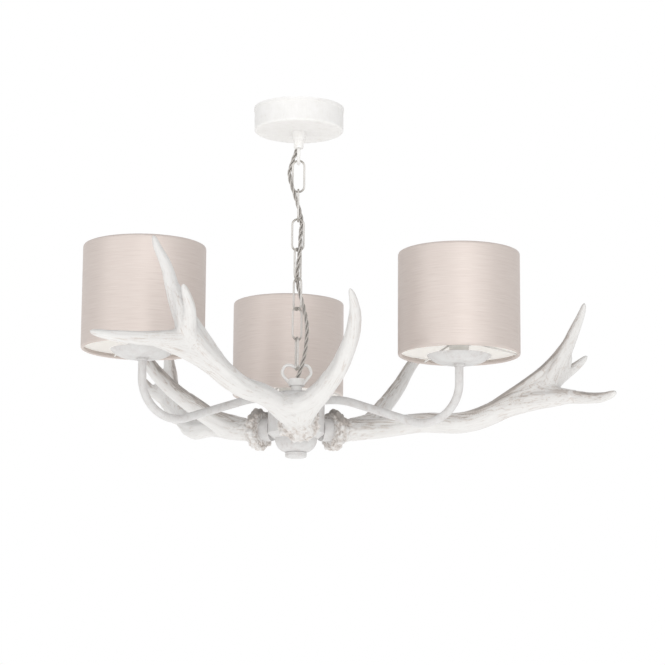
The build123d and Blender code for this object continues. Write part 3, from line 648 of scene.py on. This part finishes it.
def hangAntlers():
    axes = {}
    for name, points in casting["limbs"].items():
        axes[name] = limbAxis(points, name in casting["tines"])
    skin = castSkin(axes)
    carveSkin(skin, axes)
    for number, (azimuth, twist) in enumerate(zip(casting["azimuths"], casting["twists"])):
        copy = skin.copy()
        about = Matrix.Rotation(math.radians(azimuth), 4, "Z")
        twisted = Matrix.Rotation(math.radians(twist), 4, "X")
        copy.transform(Matrix.Translation((0, 0, axisHeight)) @ about @ twisted)
        keepMesh(f"antlerCasting{number + 1}", copy, finishes["antler_resin"], "fixture",
                 [f"antler_{number + 1}"])
    print("antlers cast:", len(skin.vertices), "points each")


hangAntlers()

# Shades: silk rolled over two hoops, a white liner inside. Lengths in mm, angles in degrees.
drum = {
    "radius": 80.0,
    "bottom": 80.6,                  # above the antlers' axis
    "height": 136.4,
    "cloth": 0.35,                   # thickness
    # the roll at a rim: how far in from the outside, and up from the rim's end
    "roll": ((1.75, 6.3), (2.3, 5.5), (3.4, 5.1), (4.4, 4.2), (4.75, 2.9), (4.4, 1.3), (3.3, 0.35),
             (2.0, 0.1), (0.8, 0.7), (0.15, 2.0), (0.0, 4.2)),
    "bands": 8,                      # between the rims
    "steps": 240,
    "seams": (127.6, 115.0, 60.0),   # azimuth of the overlap's end on each shade
    "seamWidth": 9.0,                # of overlap
    "seamFade": 0.7,                 # where in the width the step starts to fade
    "seamStep": 0.45,
    "linerGap": 0.75,                # from the outside to the liner's face
    "linerWall": 0.4,
    "linerShort": 1.6,               # from each rim to the liner's end
    "linerSteps": 180,
}


def spinProfile(outline, steps):
    # a ring from an outline of (radius, height) about the Z axis
    bm = bmesh.new()
    rim = [bm.verts.new((r, 0, z)) for r, z in outline]
    edges = [bm.edges.new(pair) for pair in zip(rim, rim[1:])]
    bmesh.ops.spin(bm, geom=rim + edges, cent=(0, 0, 0), axis=(0, 0, 1), angle=math.tau, steps=steps,
                   use_merge=True)
    bmesh.ops.remove_doubles(bm, verts=bm.verts, dist=1e-6)
    bmesh.ops.recalc_face_normals(bm, faces=bm.faces)
    return bm


def clothMap(mesh, radius, seam):
    # the cloth's own map in metres: round the shade from the seam, and up along the cloth
    perInward = 0.7                  # how much of the way in at a rim counts as up
    layer = mesh.uv_layers.new(name="cloth")
    for polygon in mesh.polygons:
        middle = math.atan2(polygon.center.y, polygon.center.x)
        start = (middle - seam) % math.tau
        for loop in polygon.loop_indices:
            co = mesh.vertices[mesh.loops[loop].vertex_index].co
            turn = math.atan2(co.y, co.x) - middle
            turn = (turn + math.pi) % math.tau - math.pi
            inward = radius - math.hypot(co.x, co.y)
            layer.data[loop].uv = ((start + turn) * radius, co.z + inward * perInward)


def rollSilk(name, levels, seam):
    # the silk as one layer, round the axis, with the step of its overlap
    radius = drum["radius"] / 1000
    bm = spinProfile([(r / 1000, z / 1000) for r, z in levels], drum["steps"])
    wall = [f for f in bm.faces if f.calc_center_median().xy.length > radius - 0.0002]
    if sum(f.normal.xy.dot(f.calc_center_median().xy) for f in wall) < 0:
        bmesh.ops.reverse_faces(bm, faces=bm.faces)
    seamEnd = math.radians(drum["seamWidth"])
    fadeStart = math.radians(drum["seamWidth"] * drum["seamFade"])
    for vert in bm.verts:
        turn = (math.atan2(vert.co.y, vert.co.x) - seam) % math.tau
        if turn < seamEnd:
            vert.co += vert.normal * drum["seamStep"] / 1000 * (1 - ease(turn, fadeStart, seamEnd))
    mesh = bpy.data.meshes.new(name)
    bm.to_mesh(mesh)
    bm.free()
    clothMap(mesh, radius, seam)
    return mesh


def hangShades():
    radius, height = drum["radius"] / 1000, drum["height"] / 1000
    roll = [(drum["radius"] - inwards, up) for inwards, up in drum["roll"]]
    bands = drum["bands"]
    levels = roll + [(drum["radius"], drum["height"] * k / bands) for k in range(1, bands)]
    levels += [(r, drum["height"] - up) for r, up in reversed(roll)]
    # cut as a strip: once round with an overlap, and as tall as the drum with both turned-in rims
    face = (drum["radius"] - drum["linerGap"]) / 1000
    back = face - drum["linerWall"] / 1000
    low = drum["linerShort"] / 1000
    high = height - low
    for number, azimuth in enumerate(armAzimuths):
        lamp = Matrix.Rotation(math.radians(azimuth), 4, "Z") @ Vector((armReach, 0, 0))
        lamp.z = axisHeight + drum["bottom"] / 1000
        mesh = rollSilk(f"silk{number + 1}", levels, math.radians(drum["seams"][number]))
        mesh.transform(Matrix.Translation(lamp))
        silk = keepMesh(f"silk{number + 1}", mesh, finishes["shade_fabric"], "fixture",
                        [f"shade_{number + 1}"])
        thicken = silk.modifiers.new("cloth", "SOLIDIFY")
        thicken.thickness = drum["cloth"] / 1000
        thicken.offset = -1
        ring = spinProfile(((face, low), (face, high), (back, high), (back, low), (face, low)),
                           drum["linerSteps"])
        bmesh.ops.translate(ring, verts=ring.verts, vec=lamp)
        # the liner's glow is painted light
        keepMesh(f"shadeLiner{number + 1}", ring, glowingLiner, "fixture", [f"shade_{number + 1}"],
                 smooth=False)
    print("shades made")


hangShades()

# Chain: bent wire links with a butt joint in one side. Lengths in mm.
chain = {
    "wire": 2.8,
    "length": 46.84,
    "width": 18.5,
    "azimuths": (0, 90, 0, 58, 130, 40, 100),        # of each link's plane, in degrees
    "first": -73.65,                                 # height of the first link's top wire
    "pitch": 41.09,                                  # step down to the next
    "seam": 0.35,                                    # gap at the butt joint
    "arcSteps": 20,
    "rubbedTo": 6.25,                                # how far from the contacts the paint is rubbed
    "rubbedFade": 5.0,
}


def hangChain():
    wire = chain["wire"] / 2
    bend = chain["width"] / 2 - wire
    run = chain["length"] - chain["wire"]
    middle = -run / 2
    straight = run / 2 - bend
    line = [(-bend, 0, middle + chain["seam"] / 2)]
    line += [(-bend, 0, middle + straight * k / 3) for k in (1, 2)]
    for centre, start in ((-bend, math.pi), (bend - run, 0)):
        for k in range(chain["arcSteps"] + 1):
            turn = start - math.pi * k / chain["arcSteps"]
            line.append((bend * math.cos(turn), 0, centre + bend * math.sin(turn)))
    line += [(-bend, 0, middle - straight * k / 3) for k in (2, 1)]
    line.append((-bend, 0, middle - chain["seam"] / 2))
    points = np.array(line) / 1000
    for number, azimuth in enumerate(chain["azimuths"]):
        mesh = tube(points, [wire / 1000] * len(points), resolution=5)
        heights = readVectors(mesh.vertices, "co")[:, 2] * 1000
        fromContact = np.minimum(abs(heights), abs(heights + run))
        worn = (chain["rubbedTo"] - fromContact) / chain["rubbedFade"]
        markPoints(mesh, "rubbed", np.clip(worn, 0, 1))
        top = (chain["first"] - chain["pitch"] * number) / 1000
        mesh.transform(Matrix.Translation((0, 0, top)) @ Matrix.Rotation(math.radians(azimuth), 4, "Z"))
        keepMesh(f"linkWire{number + 1}", mesh, finishes["chain_paint"], f"link_{number + 1}",
                 [f"chain_link_{number + 1}"])
    print("chain hung")


hangChain()

# Flex: three braided strands laid round each other, woven through the chain.
flex = {
    "strands": 3,
    "strandRadius": 0.00125,
    "offset": 0.00162,               # from the flex's axis to each strand's
    "lay": 0.036,                    # one full turn
    "bend": 0.014,                   # how far each bend reaches above and below its joint
    "joints": (-77.45, -117.69, -158.78, -199.87, -240.96, -282.05, -323.14, -364.23),   # mm, heights
    "bodies": ("ceiling", "link_1", "link_2", "link_3", "link_4", "link_5", "link_6", "link_7",
               "fixture"),
    # the route: mm from the axis, and above the antlers' axis
    "route": ((0, 16.2, 426.98), (0, 16.2, 404), (-2.5, 13.5, 388), (-8.5, 8, 370), (-13.8, 0, 350),
              (-7.5, -7, 328), (0, -0.5, 306), (5.8, 6.3, 285), (3, 0.8, 264.5), (3.4, -8, 244.5),
              (0.2, 0.3, 223.5), (-1.2, 9.3, 203), (3.8, 6, 183), (9.4, 0, 162), (13.8, -3, 140),
              (13, -4.8, 118), (11, -6.2, 100), (8, -5.8, 87), (4.8, -3.2, 76.5), (0, 0, 66),
              (0, 0, 37.1)),
}


def sidesOf(axis):
    # two directions square to the axis at each point, carried down it without twist
    tangent = np.gradient(axis, axis=0)
    tangent /= np.linalg.norm(tangent, axis=1)[:, None]
    side = np.empty_like(axis)
    side[0] = (1, 0, 0)
    for k in range(1, len(axis)):
        carried = side[k - 1] - tangent[k] * side[k - 1].dot(tangent[k])
        side[k] = carried / np.linalg.norm(carried)
    return side, np.cross(tangent, side)


def braidMap(mesh, length):
    # the strand's own map in metres, along it and round it, from the map that its tube came with
    layer = mesh.uv_layers[0]
    layer.name = "braid"
    values = np.empty(len(layer.data) * 2)
    layer.data.foreach_get("uv", values)
    values = values.reshape(-1, 2)
    values[:, 0] *= length
    values[:, 1] *= math.tau * flex["strandRadius"]
    layer.data.foreach_set("uv", values.ravel())


def hangFlex():
    route = [(x / 1000, y / 1000, z / 1000 + axisHeight) for x, y, z in flex["route"]]
    axis = lineOf(curveOf("NURBS", route, resolution=14))
    along = lengthsAlong(axis)
    side, other = sidesOf(axis)
    # one span for each joint, cut half way between joints
    joints = flex["joints"]
    cuts = [0]
    for upper, lower in zip(joints, joints[1:]):
        cuts.append(int(abs(axis[:, 2] - (upper + lower) / 2000).argmin()))
    cuts.append(len(axis) - 1)
    # painted shade in the grooves: from where the strands touch each other to the outside
    inner = flex["offset"] - flex["strandRadius"] * 0.5
    outer = flex["offset"] + flex["strandRadius"]
    for number, joint in enumerate(joints):
        part = slice(cuts[number], cuts[number + 1] + 1)
        bm = bmesh.new()
        for strand in range(flex["strands"]):
            angle = math.tau * (along[part] / flex["lay"] + strand / flex["strands"])
            out = np.cos(angle)[:, None] * side[part] + np.sin(angle)[:, None] * other[part]
            line = axis[part] + out * flex["offset"]
            bm.from_mesh(tube(line, [flex["strandRadius"]] * len(line), resolution=2))
        mesh = bpy.data.meshes.new(f"flexSpan{number + 1}")
        bm.to_mesh(mesh)
        bm.free()
        braidMap(mesh, along[part][-1] - along[part][0])
        skin = readVectors(mesh.vertices, "co")
        fromAxis = np.array([np.linalg.norm(axis[part] - point, axis=1).min() for point in skin])
        markPoints(mesh, "grooveShade", np.clip((fromAxis - inner) / (outer - inner), 0, 1))
        piece = keepMesh(f"flexSpan{number + 1}", mesh, finishes["flex_braid"], None, ["flex"])
        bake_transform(piece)
    print("flex woven:", round(along[-1], 4), "m")


hangFlex()

# Camera: stands low and looks up. Angles in degrees.
cameraView = {
    "place": (0.0, -3.13462, -0.90446),
    "pitch": 10.691,                 # up
    "yaw": 0.876,                    # towards the right
    "roll": 0.381,
    "lens": 127.79,
    "sensor": 36.0,
}


def standCamera():
    data = bpy.data.cameras.new("camera")
    data.lens = cameraView["lens"]
    data.sensor_width = cameraView["sensor"]
    camera = bpy.data.objects.new("camera", data)
    bpy.context.scene.collection.objects.link(camera)
    yaw = Matrix.Rotation(math.radians(-cameraView["yaw"]), 4, "Z")
    pitch = Matrix.Rotation(math.radians(90 + cameraView["pitch"]), 4, "X")
    roll = Matrix.Rotation(math.radians(cameraView["roll"]), 4, "Z")
    camera.matrix_world = Matrix.Translation(cameraView["place"]) @ yaw @ pitch @ roll
    bpy.context.scene.camera = camera


standCamera()
print("camera set")

# Light: broad soft light from the front, more from below than from above. Angles in degrees.
key = {"right": 8, "up": 5, "width": 20, "strength": 0.28}       # it throws the soft shadows
softBoxes = {
    "turns": (-52.5, -10, 32.5),     # to the right of the front, side by side
    "distance": 9.0,
    "height": 1.7,
    "size": (7.0, 4.5),
    "watts": 99.0,
}
surroundings = {
    "below": 0.62,                   # what they give as light, by height
    "above": 0.42,
    "change": (-0.2, 0.6),           # the heights between which it changes, from -1 to 1
}
lightTable = {"height": -3.0, "halfSize": 14, "strength": 0.68}  # the floor, gives the light from below


def hangLight(name, kind, place, turn, strength):
    light = bpy.data.lights.new(name, kind)
    light.energy = strength
    holder = bpy.data.objects.new(name, light)
    holder.location = place
    holder.rotation_euler = turn
    bpy.context.scene.collection.objects.link(holder)
    return light, holder


def hangLights():
    facing = (math.radians(90 - key["up"]), 0, math.radians(key["right"]))
    sun, _ = hangLight("key", "SUN", (0, 0, 0), facing, key["strength"])
    sun.angle = math.radians(key["width"])
    aim = Vector((0, 0, axisHeight))
    front = Vector((0, -softBoxes["distance"], softBoxes["height"]))
    for number, turn in enumerate(softBoxes["turns"]):
        place = Matrix.Rotation(math.radians(turn), 4, "Z") @ front
        facing = (aim - place).to_track_quat("-Z", "Y").to_euler()
        light, box = hangLight(f"softBox{number + 1}", "AREA", place, facing, softBoxes["watts"])
        light.shape = "RECTANGLE"
        light.size, light.size_y = softBoxes["size"]
        box.visible_camera = False


def whiteWorld():
    # white to the camera and in reflections, a weaker fill for the light
    world = bpy.data.worlds.new("studio")
    bpy.context.scene.world = world
    world.use_nodes = True
    tree = world.node_tree
    tree.nodes.clear()
    path = addNode(tree, "ShaderNodeLightPath")
    where = addNode(tree, "ShaderNodeTexCoord")
    height = addNode(tree, "ShaderNodeSeparateXYZ", links={"Vector": where.outputs["Generated"]})
    low, high = surroundings["change"]
    strength = addNode(tree, "ShaderNodeMapRange", {
        "From Min": low, "From Max": high, "To Min": surroundings["below"],
        "To Max": surroundings["above"]}, {"Value": height.outputs["Z"]}).outputs[0]
    for ray in ("Is Camera Ray", "Is Glossy Ray", "Is Transmission Ray"):
        strength = addNode(tree, "ShaderNodeMath", {"operation": "MAXIMUM"},
                           {0: strength, 1: path.outputs[ray]}).outputs[0]
    back = addNode(tree, "ShaderNodeBackground", {"Color": (1, 1, 1, 1)}, {"Strength": strength})
    addNode(tree, "ShaderNodeOutputWorld", links={"Surface": back.outputs[0]})


def layLightTable():
    bm = bmesh.new()
    bmesh.ops.create_grid(bm, x_segments=1, y_segments=1, size=lightTable["halfSize"])
    bmesh.ops.translate(bm, verts=bm.verts, vec=(0, 0, lightTable["height"]))
    # opal acrylic lit from behind: even, white and matt
    opal = startMaterial("lit_opal_acrylic", {
        "Roughness": 0.9, "Base Color": toLinear("#F2F1EF"), "Emission Color": toLinear("#FFFFFF"),
        "Emission Strength": lightTable["strength"]})[0]
    keepMesh("floor", bm, opal)


hangLights()
whiteWorld()
layLightTable()
bpy.context.scene.view_settings.view_transform = "Standard"
print("lights hung")
